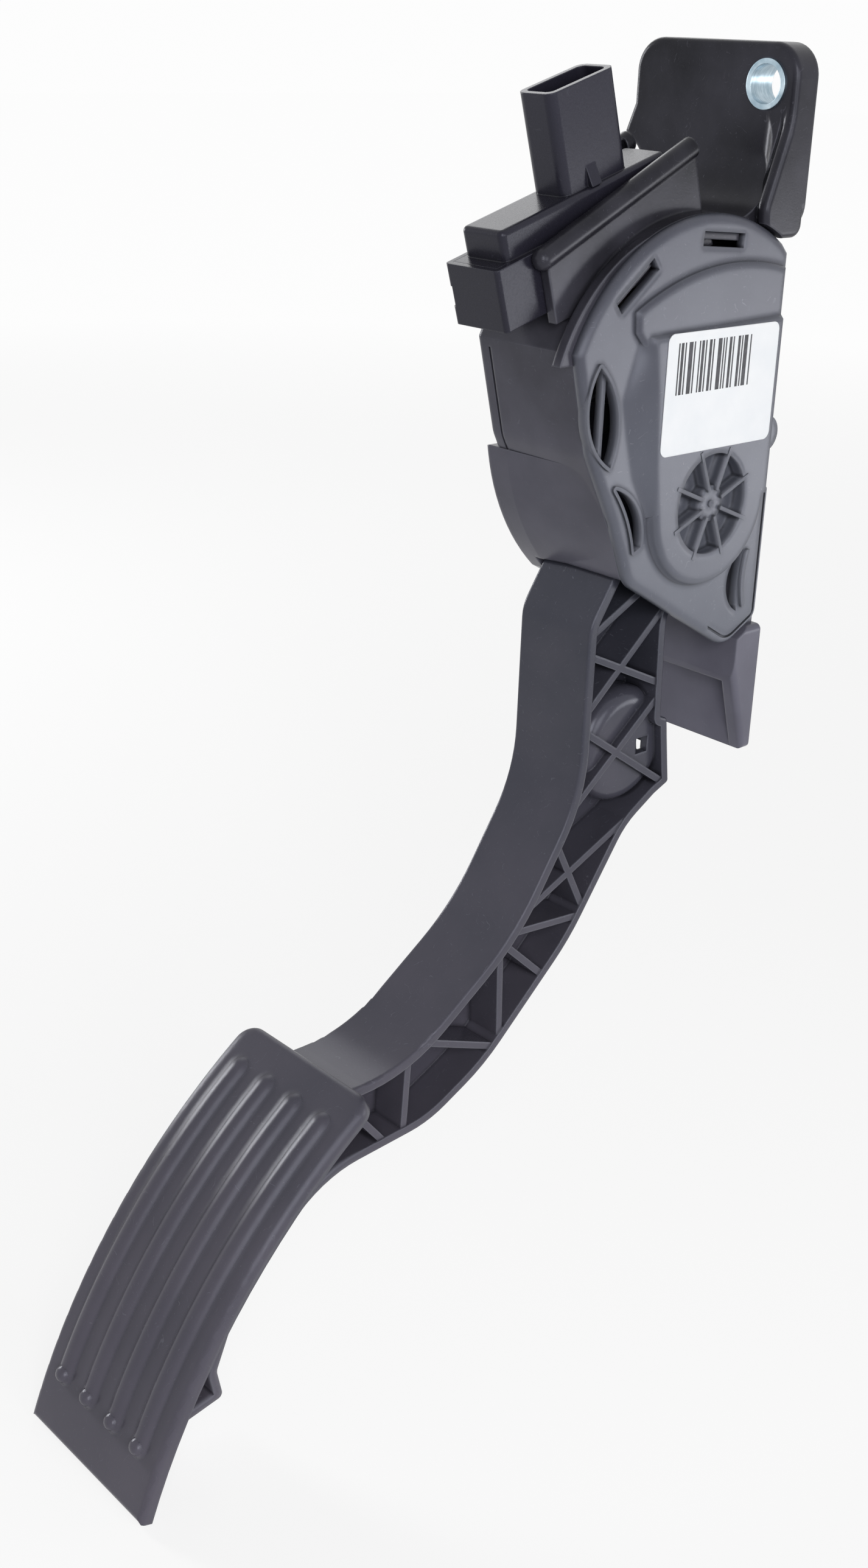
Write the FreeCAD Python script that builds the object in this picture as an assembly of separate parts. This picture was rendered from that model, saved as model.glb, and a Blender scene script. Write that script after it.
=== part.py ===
import FreeCAD, Part
import math
import os

# Hanging accelerator pedal with its position sensor, in millimetres.
# X runs across the pedal towards the side cover, Y towards the bulkhead and Z up.
# The origin lies on the mounting face, level with the bolt, in the arm's mid-plane.

# Pivot and bearings
pivot_y = -26.0
pivot_z = -92.0
pin_radius = 5.0
bush_wall = 1.5
bearing_wall = 3.0
running_gap = 0.05
seat_gap = 0.02
face_gap = 0.3

# Case: one moulded shell, open towards the side cover and at the foot. Corners are (y, z, radius) from the pivot.
wall = 2.2
arm_width = 23.0
side_gap = 1.2
case_back_y = -2.7
case_edge = 1.5
crown_setback = 4.0
crown_rise = 20.0
crown_radius = 45.5
lip_setback = 5.55
lip_rise = 1.5
lip_inset = 3.5
lip_depth = 2.5
lip_height = 35.5
front_height = 38.0
heel_step = 1.7
heel_depth = 33.0
heel_corner = 4.0
foot_corner = (13.5, -39.0, 7.0)
mouth_corner = (-24.5, -16.5, 8.0)
waist_corner = (-31.0, -1.0, 20.0)
chin_corner = (-40.0, 15.5, 10.0)
mouth_corners = ((-22.2, -11.0, 0), (4.0, -24.0, 0), (17.0, -31.0, 0), (17.0, -53.0, 0), (-34.0, -33.0, 0))
flank_width = 3.4
flank_x = -11.0
flank_height = 12.0
flank_bulge = ((-38.4, 12.0, 0), (-33.6, -3.5, "through"), (-21.6, -19.7, 0))
flank_fade = ((-37.9, 11.9, 0), (-30.9, -1.4, "through"), (-25.2, -14.2, 0))
strip_width = 3.6
strip_groove = 0.6
strip_foot = 12.0
strip_top = 36.0

# Side cover, with its outlines from the pivot
cover_thickness = 2.2
cover_edge = 1.7
upper_rise = 1.3
upper_edge = 1.0
upper_field = ((-29.0, 46.0, 0), (-6.4, 53.8, "through"), (21.3, 52.7, 0), (21.3, 20.0, 0), (-19.0, 20.0, 0),
               (-24.0, 36.4, 0), (-28.6, 41.4, 0))
cover_rise = 2.6
field_foot = ((-26.0, 41.4, 0), (21.5, 42.8, 0), (21.5, -1.0, 0), (-20.5, -1.0, 0), (-26.5, 9.5, 0), (-32.0, 26.0, 0))
field_head = ((-23.8, 39.8, 0), (20.0, 41.2, 0), (20.0, 0, 0), (-19.0, 0, 0), (-20.2, 9.5, 0), (-21.6, 28.0, 0))
boss_radius = 19.2
boss_slope = 0.9
hub_recess_radius = 12.0
hub_recess_depth = 3.4
hub_disc_radius = 4.3
hub_disc_drop = 0.6
hub_dot_radius = 0.8
spoke_width = 0.9
spoke_count = 8
spoke_overrun = 1.8
spoke_proud = 0.15
clip_angles = (4.6, -38.0)
clip_length = 14.2
clip_height = 3.2
clip_drop = 1.8
clip_gap = 0.2
hook_play = 1.6
hook_height = 1.5
hook_sink = 1.2
lens = ((-39.0, 35.0, 0), (-32.3, 23.0, "through"), (-34.0, 12.5, 0), (-41.8, 24.5, "through"))
lens_bar = (-37.4, -36.2, 14.0, 34.0)
lens_bar_drop = 0.5
ear = ((-31.5, 7.2, 0), (-24.4, 2.4, "through"), (-21.8, -7.5, 0), (-23.9, -8.3, 0), (-26.6, -0.4, "through"))
window_lip_width = 0.8
window_lip_rise = 0.5
foot_slot = ((17.0, -14.2, 0), (11.6, -21.8, "through"), (16.4, -30.0, 0), (15.8, -22.0, "through"))
foot_curb = ((17.4, -14.4, 0), (16.3, -22.0, "through"), (17.6, -29.0, 0), (18.8, -29.0, 0), (17.5, -22.0, "through"),
             (18.6, -14.4, 0))
curb_rise = 0.8
groove_inset = 1.6
groove_width = 0.7
groove_depth = 0.7
groove_front = 6.0
rear_lug = (21.4, 13.6)
rear_lug_radius = 4.3
rear_notch = ((26.0, 10.0, 0), (23.5, 9.8, 0), (20.2, 8.8, 0.6), (21.0, 3.7, 1.0), (23.5, 0.1, 0), (26.0, 0, 0))
rear_notch_depth = 1.6
label_width = 38.8
label_height = 27.5
label_thickness = 0.15
label_setback = 0.7
label_rise = 27.1
label_corner = 2.0

# Bolting plate, sleeve and lower tab
plate_thickness = 7.5
plate_top_z = 9.0
plate_left_x = -30.5
plate_right_x = 18.0
plate_overlap = 6.5
plate_corner = 7.5
plate_edge = 1.4
barb_reach = 2.7
barb_top_z = -6.0
barb_z = -12.6
barb_foot_z = -16.0
barb_foot_in = 1.5
rim_width = 3.4
rim_depth = 14.0
rim_nose = 7.0
rim_run = 25.0
rim_cove = 4.5
rim_taper = 1.0
rim_heel_corner = 3.0
rim_toe_corner = 4.0
rim_nose_corner = 6.0
rim_bend = 20.0
sleeve_x = 9.3
sleeve_radius = 5.5
sleeve_bore = 4.3
sleeve_proud = 0.4
ramp_radius = 15.0
tab_head = 12.8
tab_toe = 2.8
tab_top = 35.0
tab_height = 33.5
tab_pocket_top = 49.5
tab_rim = 4.0
tab_shoulder = 3.0
tab_edge = 1.5
neck_height = 15.0

# Sensor module: a tilted tray sunk in the crown, with the connector on top
module_tilt = 17.0
module_sink = 8.05
module_front = 45.54
module_length = 58.0
tray_width = 16.0
tray_height = 13.5
tray_wall = 1.4
tray_corner = 1.0
tray_notch = (1.0, 2.2, 4.0, 8.5)
base_width = 12.6
base_start = 4.5
base_top = 20.0
base_corner = 1.5
base_edge = 1.2
plug_depth = 2.0
shroud_width = 10.2
shroud_length = 20.0
shroud_middle = 35.3
shroud_top = 41.5
shroud_wall = 1.3
shroud_depth = 18.0
shroud_corner = 2.2
latch_rise = 1.3
latch_height = 4.5
latch_width = 3.0
latch_place = 32.4
bay_gap = 0.2
bay_height = 60.0
rail_width = 2.4
rail_start = 12.0
rail_end = 61.0
rail_low = 12.0
rail_high = 19.5
ridge_radius = 2.4
terminal_size = 0.64
terminal_pitch = 2.54
terminal_count = 6
terminal_reach = 7.0
board_thickness = 1.6
board_lift = 1.0
board_length = 50.0
chip_size = (4.4, 5.0, 1.1)
chip_places = (12.0, 20.0)
capacitor_size = (1.6, 0.8, 0.8)
capacitor_x = -3.8
capacitor_start = 25.0
capacitor_pitch = 4.0
capacitor_count = 5

# Pedal arm and pad, placed from the pivot. The lower corners of the arm count from the pad's two ends.
flange = 2.4
arm_edge = 0.6
web = 2.4
rib = 1.8
rib_drop = 0.4
hub_radius = 13.0
neck = 12.0
arm_front = ((-22.5, -15.0, 10.0), (-30.2, -27.0, 10.0), (-30.2, -70.0, 40.0), (-50.0, -101.5, 60.0))
arm_at_pad = (20.5, -5.1, 40.0)
beam_foot = ((31.4, 11.0, 1.5), (29.7, 19.0, 3.0), (37.2, 38.0, 30.0))
beam_head = ((-3.5, -25.6, 30.0), (28.5, -23.6, 30.0), (46.5, -14.6, 50.0))
beam_start = 0.05
beam_end = 0.93
arm_rear = ((-30.0, -109.0, 60.0), (-12.0, -82.5, 20.0), (-2.0, -76.5, 3.0), (3.1, -74.3, 1.0),
            (0.5, -56.5, 1.0), (-2.0, -55.5, 0.8), (-3.0, -30.0, 10.0))
rib_fronts = ((-30, -30), (-30, -34), (-30, -50), (-30, -53), (-30, -72), (-36, -82), (-45, -96),
              (-50, -101), (-52, -104), (-54, -106), (-76, -122), (-83, -125), (-98, -134))
rib_rears = ((-14, -22), (-2, -47), (-5, -28), (1, -74), (-2, -49), (-27, -99), (-14, -82),
             (-29, -103), (-39, -116), (-53, -130), (-54, -131), (-84, -143), (-89, -145))
stop_boss = (-11.5, -62.0)
stop_boss_radius = 15.0
stop_boss_sink = 2.5
stop_boss_edge = 4.0
core_hole = (-5.7, -63.0)
core_hole_size = 4.2
core_window = (0.6, 5.6)
core_window_drop = 3.5
lever_angle = 8.0
lever_thickness = 11.0
pad_width = 46.0
pad_top_y = -104.5
pad_top_z = -120.4
pad_foot_y = -169.2
pad_foot_z = -204.0
pad_crown = 8.5
pad_thickness = 3.6
pad_corner = 5.0
pad_edge = 1.0
bead_pitch = 10.2
bead_count = 4
bead_radius = 3.2
bead_height = 1.5
bead_start = 0.10
bead_end = 0.86

# Return springs, rocker and stops
spring_drop = 26.5
outer_wire_radius = 1.0
outer_turns = 6.5
inner_wire_radius = 0.75
inner_turns = 8.0
coil_gap = 1.35
seat_thickness = 5.5
cup_depth = 2.0
cup_wall = 1.0
cup_side_gap = 1.9
rocker_thickness = 5.0
rocker_cheek = 2.5
rocker_pin_radius = 1.5
rocker_pin_drop = 5.0
track_gap = 3.15
track_thickness = 2.4
track_width = 9.0
track_angles = (-32.0, -10.0, 16.0)
lining_thickness = 2.0
bumper_radius = 4.0
bumper_drop = 11.5
sensing_gap = 1.05
target_thickness = 0.8
target_margin = 0.5

THROUGH = "through"
OVERCUT = 5.0

tilt_cos = math.cos(math.radians(module_tilt))
tilt_sin = math.sin(math.radians(module_tilt))
inner_half = arm_width / 2 + side_gap
case_half = inner_half + wall
cover_face_x = case_half + cover_thickness
cover_top_x = cover_face_x + cover_rise
crown_y = pivot_y - crown_setback
crown_z = pivot_z + crown_rise
front_top_z = pivot_z + front_height
clip_top = crown_radius - wall - clip_drop
clip_foot = clip_top - clip_height
bush_radius = pin_radius + running_gap + bush_wall
bush_seat = bush_radius + seat_gap
pin_end_x = case_half - face_gap
bearing_x = arm_width / 2 + face_gap
plate_foot_z = crown_z + crown_radius - plate_overlap
tab_top_z = pivot_z - tab_top
tab_foot_z = tab_top_z - tab_height
module_height = crown_radius - module_sink
module_y = crown_y - module_front * tilt_cos - module_height * tilt_sin
module_z = crown_z - module_front * tilt_sin + module_height * tilt_cos
bay_floor = module_height + crown_setback * tilt_sin + crown_rise * tilt_cos - wall
spring_height = bay_floor - spring_drop
bumper_height = bay_floor - bumper_drop
target_radius = bay_floor - sensing_gap
track_radius = bay_floor - track_gap - track_thickness
outer_coil_radius = inner_half - cup_side_gap - cup_wall - face_gap - outer_wire_radius
inner_coil_radius = outer_coil_radius - outer_wire_radius - coil_gap - inner_wire_radius
cup_radius = outer_coil_radius + outer_wire_radius + face_gap + cup_wall
lever_width = arm_width - 2 * rocker_cheek
rocker_face_y = -lever_thickness / 2 - rocker_thickness
lever_low_top = track_radius - face_gap - lining_thickness - rocker_thickness
rocker_pin_z = lever_low_top - rocker_pin_drop


def vec(x, y, z):
    return FreeCAD.Vector(x, y, z)


def side_wire(corners):
    """Closed outline in the YZ plane. A corner is (y, z, radius); THROUGH marks a point on an arc."""
    count = len(corners)
    starts = {}
    ends = {}
    edges = []
    for i, (y, z, radius) in enumerate(corners):
        point = vec(0, y, z)
        if radius == THROUGH:
            continue
        starts[i] = point
        ends[i] = point
        if radius > 0:
            before = corners[i - 1]
            after = corners[(i + 1) % count]
            to_before = (vec(0, before[0], before[1]) - point).normalize()
            to_after = (vec(0, after[0], after[1]) - point).normalize()
            half = to_before.getAngle(to_after) / 2
            starts[i] = point + to_before * (radius / math.tan(half))
            ends[i] = point + to_after * (radius / math.tan(half))
            inward = (to_before + to_after).normalize()
            middle = point + inward * (radius / math.sin(half) - radius)
            edges.append((i, Part.Arc(starts[i], middle, ends[i]).toShape()))
    for i in range(count):
        j = (i + 1) % count
        if corners[i][2] == THROUGH:
            h = (i - 1) % count
            middle = vec(0, corners[i][0], corners[i][1])
            edges.append((i, Part.Arc(ends[h], middle, starts[j]).toShape()))
        elif corners[j][2] != THROUGH:
            if (ends[i] - starts[j]).Length > 1e-6:
                edges.append((i + 0.5, Part.LineSegment(ends[i], starts[j]).toShape()))
    edges.sort(key=lambda entry: entry[0])
    return Part.Wire([edge for place, edge in edges])


def prism(wire, x0, x1):
    """Solid between two planes across X, from an outline in the YZ plane."""
    face = Part.Face(wire)
    face.translate(vec(x0, 0, 0))
    return face.extrude(vec(x1 - x0, 0, 0))


def inset(wire, distance):
    """The same outline, moved inwards by a wall's thickness."""
    return wire.makeOffset2D(-distance)


def rod(y, z, radius, x0, x1):
    return Part.makeCylinder(radius, x1 - x0, vec(x0, y, z), vec(1, 0, 0))


def block(x0, x1, y0, y1, z0, z1):
    return Part.makeBox(x1 - x0, y1 - y0, z1 - z0, vec(x0, y0, z0))


def rounded_block(x0, x1, y0, y1, z0, z1, radius):
    """Block whose four upright edges are rounded."""
    shape = block(x0, x1, y0, y1, z0, z1)
    upright = [e for e in shape.Edges if abs(e.tangentAt(e.FirstParameter).z) > 0.9]
    return shape.makeFillet(radius, upright)


def at_pivot(shape):
    """Moving pieces are drawn round the pivot and then carried to it."""
    shape.translate(vec(0, pivot_y, pivot_z))
    return shape


def in_module(shape):
    """Module pieces are drawn level, with the tray's front foot at the origin, and then tilted."""
    shape.rotate(vec(0, 0, 0), vec(1, 0, 0), module_tilt)
    shape.translate(vec(0, module_y, module_z))
    return shape


def module_point(along, up):
    """Outline corner at a place in the module."""
    y = module_y + along * tilt_cos - up * tilt_sin
    z = module_z + along * tilt_sin + up * tilt_cos
    return y, z, 0


def from_pivot(corners):
    """Outline corners that are given from the pivot."""
    return [(pivot_y + y, pivot_z + z, radius) for y, z, radius in corners]


def pivot_wire(corners):
    return side_wire(from_pivot(corners))


def edges_at_x(shape, x):
    """Edges of a prism that lie in one of its end planes."""
    return [e for e in shape.Edges if abs(e.CenterOfMass.x - x) < 1e-6 and e.BoundBox.XLength < 1e-6]


def polar(radius, angle):
    """Y and Z at an angle from straight up, positive towards the bulkhead."""
    return radius * math.sin(math.radians(angle)), radius * math.cos(math.radians(angle))


def heel_corners():
    """Lower back of the case, which stands out a little below the pivot."""
    heel_y = case_back_y + heel_step
    return [
        (heel_y, pivot_z - heel_depth, heel_corner), (heel_y, pivot_z, 0), (case_back_y, pivot_z + heel_step, 0)]


def case_wire():
    """Side outline that the case and its cover share: a round crown, a sloping front and a pointed foot."""
    front_y = crown_y - math.sqrt(crown_radius ** 2 - (front_top_z - crown_z) ** 2)
    back_top_z = crown_z + math.sqrt(crown_radius ** 2 - (case_back_y - wall - crown_y) ** 2)
    return side_wire([
        (front_y, front_top_z, 0),
        (crown_y, crown_z + crown_radius, THROUGH),
        (case_back_y - wall, back_top_z, 0),
        (case_back_y, back_top_z - wall, 0),
    ] + heel_corners()[::-1] + from_pivot([foot_corner, mouth_corner, waist_corner, chin_corner]))


# Housing


def bolting_plate():
    """Upright plate behind the case, with a deeper rim on its right and a ramp down to the crown."""
    rim_x = plate_right_x - rim_width
    rim_top_z = plate_top_z - plate_corner
    outline = [
        vec(plate_left_x, 0, plate_top_z),
        vec(plate_right_x, 0, plate_top_z),
        vec(plate_right_x, 0, plate_foot_z),
        vec(-case_half, 0, plate_foot_z),
        vec(plate_left_x + barb_foot_in, 0, barb_foot_z),
        vec(plate_left_x - barb_reach, 0, barb_z),
        vec(plate_left_x, 0, barb_top_z),
        vec(plate_left_x, 0, plate_top_z),
    ]
    plate = Part.Face(Part.makePolygon(outline)).extrude(vec(0, -plate_thickness, 0))
    corners = []
    for edge in plate.Edges:
        middle = edge.CenterOfMass
        along_y = abs(edge.tangentAt(edge.FirstParameter).y) > 0.9
        if along_y and (middle.z > rim_top_z or middle.x > rim_x):
            corners.append(edge)
    plate = plate.makeFillet(plate_corner, corners)
    front = [e for e in plate.Edges if abs(e.CenterOfMass.y + plate_thickness) < 1e-6]
    plate = plate.makeFillet(plate_edge, front)
    rim = side_wire([
        (0, rim_top_z, 0),
        (0, plate_foot_z, rim_heel_corner),
        (rim_taper - rim_depth, plate_foot_z, rim_toe_corner),
        (-rim_depth, plate_foot_z + rim_nose, rim_nose_corner),
        (-plate_thickness, plate_foot_z + rim_run, rim_bend),
        (-plate_thickness, rim_top_z, 0),
    ])
    bar = prism(rim, rim_x, plate_right_x)
    outside = []
    for edge in edges_at_x(bar, plate_right_x) + edges_at_x(bar, rim_x):
        if edge.CenterOfMass.y < -plate_edge and edge.CenterOfMass.z < rim_top_z - 1e-3:
            outside.append(edge)
    bar = bar.makeFillet(plate_edge, outside)
    cove_y = -plate_thickness - rim_cove
    cove = block(rim_x - rim_cove, rim_x, cove_y, -wall, plate_foot_z, rim_top_z)
    cove = cove.common(prism(rim, rim_x - rim_cove, rim_x))
    cove = cove.cut(Part.makeCylinder(
        rim_cove, plate_top_z - plate_foot_z, vec(rim_x - rim_cove, cove_y, plate_foot_z)))
    ramp_foot_z = crown_z + crown_radius - wall
    bend = ramp_radius * (1 - math.sqrt(0.5))
    ramp = side_wire([
        (-plate_thickness - ramp_radius, ramp_foot_z - 2 * wall, 0),
        (-plate_thickness - ramp_radius, ramp_foot_z, 0),
        (-plate_thickness - bend, ramp_foot_z + bend, THROUGH),
        (-plate_thickness, ramp_foot_z + ramp_radius, 0),
        (-wall, ramp_foot_z + ramp_radius, 0),
        (-wall, ramp_foot_z - 2 * wall, 0),
    ])
    plate = plate.fuse([bar, cove, prism(ramp, -case_half, rim_x)])
    hole = Part.makeCylinder(
        sleeve_radius + seat_gap, plate_thickness + 2 * OVERCUT, vec(sleeve_x, OVERCUT, 0), vec(0, -1, 0))
    return plate.cut(hole)


def lower_tab():
    """Wedge-shaped tab below the case. Its pocket takes the arm's stop boss at full travel."""
    wedge = side_wire([
        (0, tab_top_z, 0), (-tab_head, tab_top_z, tab_shoulder), (-tab_toe, tab_foot_z, 0), (0, tab_foot_z, 0)])
    tab = prism(wedge, -case_half, plate_right_x)
    outside = [e for e in edges_at_x(tab, plate_right_x) if e.CenterOfMass.y < -1e-3]
    tab = tab.makeFillet(tab_edge, outside)
    pocket = block(
        -case_half - OVERCUT, plate_right_x - tab_rim, -tab_head - OVERCUT, -tab_toe,
        tab_foot_z - OVERCUT, pivot_z - tab_pocket_top)
    neck_z = tab_top_z - wall
    joint = block(-case_half, case_half, case_back_y - wall, 0, neck_z, neck_z + neck_height)
    return tab.cut(pocket).fuse(joint)


def rail(x0, x1):
    """Guide wall beside the module, with a round ridge along its top."""
    low = module_point(rail_start, rail_low)
    high = module_point(rail_end, rail_high)
    cheek = prism(side_wire([low, high, module_point(rail_end, -wall), module_point(rail_start, -wall)]), x0, x1)
    start = vec((x0 + x1) / 2, low[0], low[1])
    run = vec(0, high[0] - low[0], high[1] - low[1])
    ridge = Part.makeCylinder(ridge_radius, run.Length, start, run)
    return cheek.fuse([ridge, Part.makeSphere(ridge_radius, start)])


def friction_track():
    """Arched rib round the pivot that the friction lining rubs on."""
    first, middle, last = track_angles
    outer_radius = track_radius + track_thickness
    sector = [
        polar(track_radius, first) + (0,), polar(track_radius, middle) + (THROUGH,),
        polar(track_radius, last) + (0,), polar(outer_radius, last) + (0,),
        polar(outer_radius, middle) + (THROUGH,), polar(outer_radius, first) + (0,)]
    return prism(pivot_wire(sector), -inner_half, track_width - inner_half)


def crown_lip():
    """Lip round the front of the crown on the open side, which fades out towards the top."""
    disc = rod(crown_y - lip_setback, crown_z + lip_rise, crown_radius - lip_inset, case_half - lip_depth, case_half)
    above = block(
        -case_half, case_half, crown_y - 2 * crown_radius, crown_y, pivot_z + lip_height, crown_z + 2 * crown_radius)
    return disc.common(above)


def front_groove():
    """Shallow groove down the front wall, beside the strip along its left edge."""
    outer = case_wire()
    skin = prism(outer, -case_half, case_half).cut(prism(inset(outer, strip_groove), -case_half, case_half))
    x0 = strip_width - case_half
    return skin.common(block(
        x0, x0 + strip_groove, crown_y - 2 * crown_radius, crown_y, pivot_z + strip_foot, pivot_z + strip_top))


def flank():
    """Thicker lower left side of the case, whose round front fades into the front wall."""
    left_x = -case_half - flank_width
    outline = from_pivot(flank_bulge + (foot_corner,)) + heel_corners() + [(case_back_y, pivot_z + flank_height, 0)]
    side = prism(side_wire(outline), left_x, flank_x)
    side = side.makeFillet(case_edge, edges_at_x(side, left_x))
    middle = (0, 0, 0)
    full = pivot_wire(flank_bulge + (middle,))
    faded = pivot_wire(flank_fade + (middle,))
    full.translate(vec(flank_x, 0, 0))
    faded.translate(vec(case_half, 0, 0))
    return side.fuse(Part.makeLoft([full, faded], True, True))


def housing():
    outer = case_wire()
    hollow = inset(outer, wall)
    shell = prism(outer, -case_half, case_half)
    shell = shell.makeFillet(case_edge, edges_at_x(shell, -case_half))
    shell = shell.cut(front_groove())
    rail_x = tray_width / 2 + bay_gap
    shell = shell.fuse([
        flank(), crown_lip(), bolting_plate(), lower_tab(), rail(rail_x, rail_x + rail_width),
        rail(-rail_x - rail_width, -rail_x)])
    shell = shell.cut(prism(hollow, -inner_half, case_half))
    shell = shell.cut(prism(inset(outer, -clip_gap), case_half, cover_top_x))
    shell = shell.cut(prism(pivot_wire(mouth_corners), -inner_half, case_half + OVERCUT))
    shell = shell.cut(prism(pivot_wire(rear_notch), case_half - rear_notch_depth, cover_top_x))
    floor = block(-inner_half, inner_half, rail_start, rail_end, -wall, 0)
    shell = shell.fuse(in_module(floor).common(prism(outer, -inner_half, inner_half)))
    bay = block(-rail_x, rail_x, -OVERCUT, module_length + 2 * bay_gap, 0, bay_height)
    shell = shell.cut(in_module(bay))
    boss = rod(pivot_y, pivot_z, bush_radius + bearing_wall, -case_half - flank_width, -bearing_x)
    shell = shell.fuse([boss, friction_track()])
    for angle in clip_angles:
        length = clip_length - hook_play
        top = clip_top - clip_gap
        nose = clip_block(angle, length, top - hook_height, top, inner_half, cover_face_x - hook_sink)
        root = clip_block(
            angle, length, top - hook_height, crown_radius - wall / 2, inner_half - wall, case_half - face_gap)
        shell = shell.fuse([nose, root])
    socket = rod(pivot_y, pivot_z, bush_seat, -case_half, 0)
    return shell.cut(socket)


# Side cover


def raised_panel():
    """Two raised fields and the round hub boss. The label's field has a long slope towards the front."""
    upper = prism(pivot_wire(upper_field), case_half, cover_face_x + upper_rise)
    upper = upper.makeFillet(upper_edge, edges_at_x(upper, cover_face_x + upper_rise))
    foot = pivot_wire(field_foot)
    head = pivot_wire(field_head)
    foot.translate(vec(cover_face_x - clip_gap, 0, 0))
    head.translate(vec(cover_top_x, 0, 0))
    field = Part.makeLoft([foot, head], True, True)
    boss = Part.makeCone(
        boss_radius + boss_slope, boss_radius, cover_rise + clip_gap,
        vec(cover_face_x - clip_gap, pivot_y, pivot_z), vec(1, 0, 0))
    boss = boss.makeFillet(upper_edge, edges_at_x(boss, cover_top_x))
    return upper.fuse([field, boss])


def hub_recess():
    """Ring-shaped recess over the bearing, round a low disc."""
    floor_x = cover_top_x - hub_recess_depth
    ring = rod(pivot_y, pivot_z, hub_recess_radius, floor_x, cover_top_x + OVERCUT)
    return ring.cut(rod(pivot_y, pivot_z, hub_disc_radius, floor_x, cover_top_x - hub_disc_drop))


def hub_spokes():
    """Thin spokes across the recess, which run out over its edge, and the dot on the disc."""
    floor_x = cover_top_x - hub_recess_depth
    pieces = [Part.makeSphere(hub_dot_radius, vec(cover_top_x - hub_disc_drop, pivot_y, pivot_z))]
    for i in range(spoke_count):
        spoke = block(
            floor_x - wall / 2, cover_top_x + spoke_proud, -spoke_width / 2, spoke_width / 2,
            hub_disc_radius - spoke_width, hub_recess_radius + spoke_overrun)
        spoke.rotate(vec(0, 0, 0), vec(1, 0, 0), 360.0 / spoke_count * (i + 0.5))
        pieces.append(at_pivot(spoke))
    return pieces


def clip_block(angle, length, r0, r1, x0, x1):
    """Block under the crown, square to its radius: a snap window, or the hook in it."""
    slot = block(x0, x1, -length / 2, length / 2, r0, r1)
    slot.rotate(vec(0, 0, 0), vec(1, 0, 0), -angle)
    slot.translate(vec(0, crown_y, crown_z))
    return slot


def rim_groove():
    """Shallow groove beside the cover's rear edge and round its foot."""
    outline = case_wire()
    band = prism(inset(outline, groove_inset), cover_face_x - groove_depth, cover_top_x)
    band = band.cut(prism(inset(outline, groove_inset + groove_width), case_half, cover_top_x))
    corner = block(
        case_half, cover_top_x, pivot_y + groove_front, 0, pivot_z - 2 * heel_depth, pivot_z)
    return band.common(corner)


def side_cover():
    plate = prism(case_wire(), case_half, cover_face_x)
    plate = plate.makeFillet(cover_edge, edges_at_x(plate, cover_face_x))
    lug = rod(pivot_y + rear_lug[0], pivot_z + rear_lug[1], rear_lug_radius, case_half, cover_face_x)
    bearing = rod(pivot_y, pivot_z, bush_radius + bearing_wall, bearing_x, case_half)
    lips = [
        prism(inset(pivot_wire(outline), -window_lip_width), case_half, cover_face_x + window_lip_rise)
        for outline in (lens, ear)]
    plate = plate.fuse([raised_panel(), lug, bearing] + lips)
    plate = plate.cut(hub_recess()).fuse(hub_spokes())
    plate = plate.cut(rod(pivot_y, pivot_z, bush_seat, 0, pin_end_x + face_gap))
    for angle in clip_angles:
        plate = plate.cut(clip_block(angle, clip_length, clip_foot, clip_top, 0, cover_top_x + OVERCUT))
    for outline in (lens, ear, foot_slot, rear_notch):
        plate = plate.cut(prism(pivot_wire(outline), case_half - OVERCUT, cover_top_x + OVERCUT))
    y0, y1, z0, z1 = lens_bar
    bar = block(case_half, cover_face_x - lens_bar_drop, pivot_y + y0, pivot_y + y1, pivot_z + z0, pivot_z + z1)
    curb = prism(pivot_wire(foot_curb), case_half, cover_face_x + curb_rise)
    return plate.cut(rim_groove()).fuse([bar, curb])


def label():
    middle_y = pivot_y - label_setback
    middle_z = pivot_z + label_rise
    sticker = block(
        cover_top_x, cover_top_x + label_thickness, middle_y - label_width / 2, middle_y + label_width / 2,
        middle_z - label_height / 2, middle_z + label_height / 2)
    across = [e for e in sticker.Edges if abs(e.tangentAt(e.FirstParameter).x) > 0.9]
    return sticker.makeFillet(label_corner, across)


def mounting_sleeve():
    start = vec(sleeve_x, 0, 0)
    length = plate_thickness + sleeve_proud
    outer = Part.makeCylinder(sleeve_radius, length, start, vec(0, -1, 0))
    return outer.cut(Part.makeCylinder(sleeve_bore, length, start, vec(0, -1, 0)))


# Sensor module


def sensor_tray():
    half = tray_width / 2
    tray = rounded_block(-half, half, 0, module_length, 0, tray_height, tray_corner)
    inner = half - tray_wall
    tray = tray.cut(block(-inner, inner, tray_wall, module_length - tray_wall, tray_wall, tray_height))
    rest = block(-inner, inner, tray_wall, 2 * tray_wall, tray_wall, tray_wall + board_lift)
    far_rest = rest.translated(vec(0, board_length, 0))
    depth, reach, low, high = tray_notch
    notch = block(-half, -half + depth, 0, reach, low, high)
    return in_module(tray.fuse([rest, far_rest]).cut(notch))


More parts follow.
